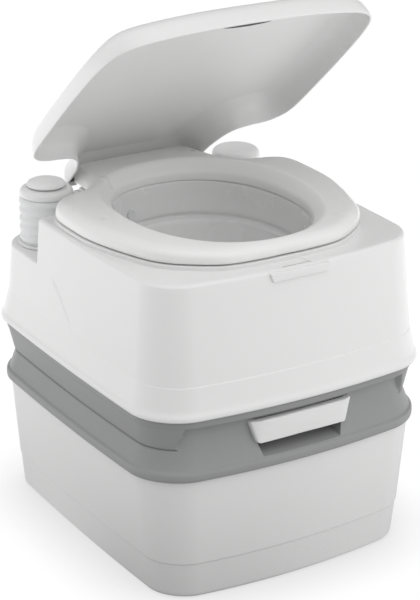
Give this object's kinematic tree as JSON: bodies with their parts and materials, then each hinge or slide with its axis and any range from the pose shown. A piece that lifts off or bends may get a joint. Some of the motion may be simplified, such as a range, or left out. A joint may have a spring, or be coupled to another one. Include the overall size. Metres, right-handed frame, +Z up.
{
  "type": "portable camp toilet",
  "caption": "Two-part portable camp toilet: seat and hinged lid over a flush tank with bellows pump, on a waste tank with grey collar, slide valve, pull handle and swing-out pour spout.",
  "frame": {"origin": "centre of the ground face, under the middle of the outer box", "axes": "+Z up, -Y towards the user (valve handle side), +X to the right seen from the front"},
  "size_m": [0.383, 0.427, 0.6466],
  "materials": {
    "shell_white": "satin-gloss moulded polyethylene, faint grain",
    "inner_white": "satin moulded plastic",
    "bellows_soft": "soft matt elastomer",
    "collar_grey": "fine-grained mid-grey plastic",
    "dark_plastic": "fine-grained dark plastic",
    "rubber_black": "matt",
    "steel": "plated"
  },
  "bodies": {
    "root": {"waste_tank": "shell_white", "collar": "collar_grey", "valve_housing": "dark_plastic", "valve_cover": "collar_grey", "valve_screw_front_left": "steel", "valve_screw_front_right": "steel", "valve_screw_rear_left": "steel", "valve_screw_rear_right": "steel", "blade_lip_seal": "rubber_black", "blade_wiper_seal": "rubber_black", "spout_ring": "dark_plastic", "vent_body": "dark_plastic", "vent_spring": "steel", "latch_pin": "steel"},
    "flush_section": {"flush_tank": "shell_white", "flush_tank_base": "inner_white", "bowl": "shell_white", "bowl_outlet_seal": "rubber_black", "flush_nozzle": "inner_white", "hinge_arm_left": "shell_white", "hinge_arm_right": "shell_white", "lid_catch": "shell_white", "pump_clamp_ring": "shell_white", "pump_bellows": "bellows_soft", "pump_valve_body": "inner_white", "pump_flap_valve": "rubber_black", "suction_tube": "bellows_soft", "flush_hose": "bellows_soft", "filler_neck": "shell_white", "latch_keeper": "shell_white"},
    "seat": {"seat": "shell_white", "hinge_pin_left": "dark_plastic", "hinge_pin_right": "dark_plastic", "seat_buffer_front_left": "rubber_black", "seat_buffer_front_right": "rubber_black", "seat_buffer_rear_left": "rubber_black", "seat_buffer_rear_right": "rubber_black"},
    "lid": {"lid": "shell_white"},
    "pump_knob": {"pump_knob": "shell_white"},
    "filler_cap": {"filler_cap": "shell_white", "filler_cap_seal": "rubber_black"},
    "blade": {"valve_blade": "inner_white", "valve_handle": "shell_white"},
    "spout": {"pour_spout": "collar_grey"},
    "spout_cap": {"spout_cap": "dark_plastic", "spout_cap_seal": "rubber_black"},
    "vent_button": {"vent_button": "collar_grey", "vent_seal": "rubber_black"},
    "latch": {"latch_lever": "collar_grey"}
  },
  "joints": [
    {"name": "upper_section_lift", "type": "slide", "parent": "root", "child": "flush_section", "axis": [0, 0, 1], "range_m": [0, 0.1]},
    {"name": "seat_hinge", "type": "hinge", "parent": "flush_section", "child": "seat", "pos_m": [0, 0.175, 0.386], "axis": [-1, 0, 0], "range_deg": [0, 90]},
    {"name": "lid_hinge", "type": "hinge", "parent": "seat", "child": "lid", "pos_m": [0, 0.175, 0.386], "axis": [-1, 0, 0], "range_deg": [-41.5, 48.5]},
    {"name": "pump_press", "type": "slide", "parent": "flush_section", "child": "pump_knob", "axis": [0, 0, -1], "range_m": [0, 0.035], "stiffness_N_per_m": 400, "springref_m": -0.01, "deforming": ["pump_bellows"]},
    {"name": "filler_cap_turn", "type": "hinge", "parent": "flush_section", "child": "filler_cap", "pos_m": [0.133, 0.149, 0.38], "axis": [0, 0, 1], "range_deg": [0, 180]},
    {"name": "valve_slide", "type": "slide", "parent": "root", "child": "blade", "axis": [0, -1, 0], "range_m": [0, 0.112]},
    {"name": "spout_swing", "type": "hinge", "parent": "root", "child": "spout", "pos_m": [-0.112, 0.14, 0.203], "axis": [0, 0, 1], "range_deg": [0, 90]},
    {"name": "spout_cap_turn", "type": "hinge", "parent": "spout", "child": "spout_cap", "pos_m": [-0.054, 0.14, 0.203], "axis": [1, 0, 0], "range_deg": [0, 180]},
    {"name": "vent_press", "type": "slide", "parent": "root", "child": "vent_button", "axis": [0, 0, -1], "range_m": [0, 0.004], "stiffness_N_per_m": 600, "springref_m": -0.003},
    {"name": "latch_tilt", "type": "hinge", "parent": "root", "child": "latch", "pos_m": [0, 0.198, 0.188], "axis": [-1, 0, 0], "range_deg": [0, 60]}
  ]
}
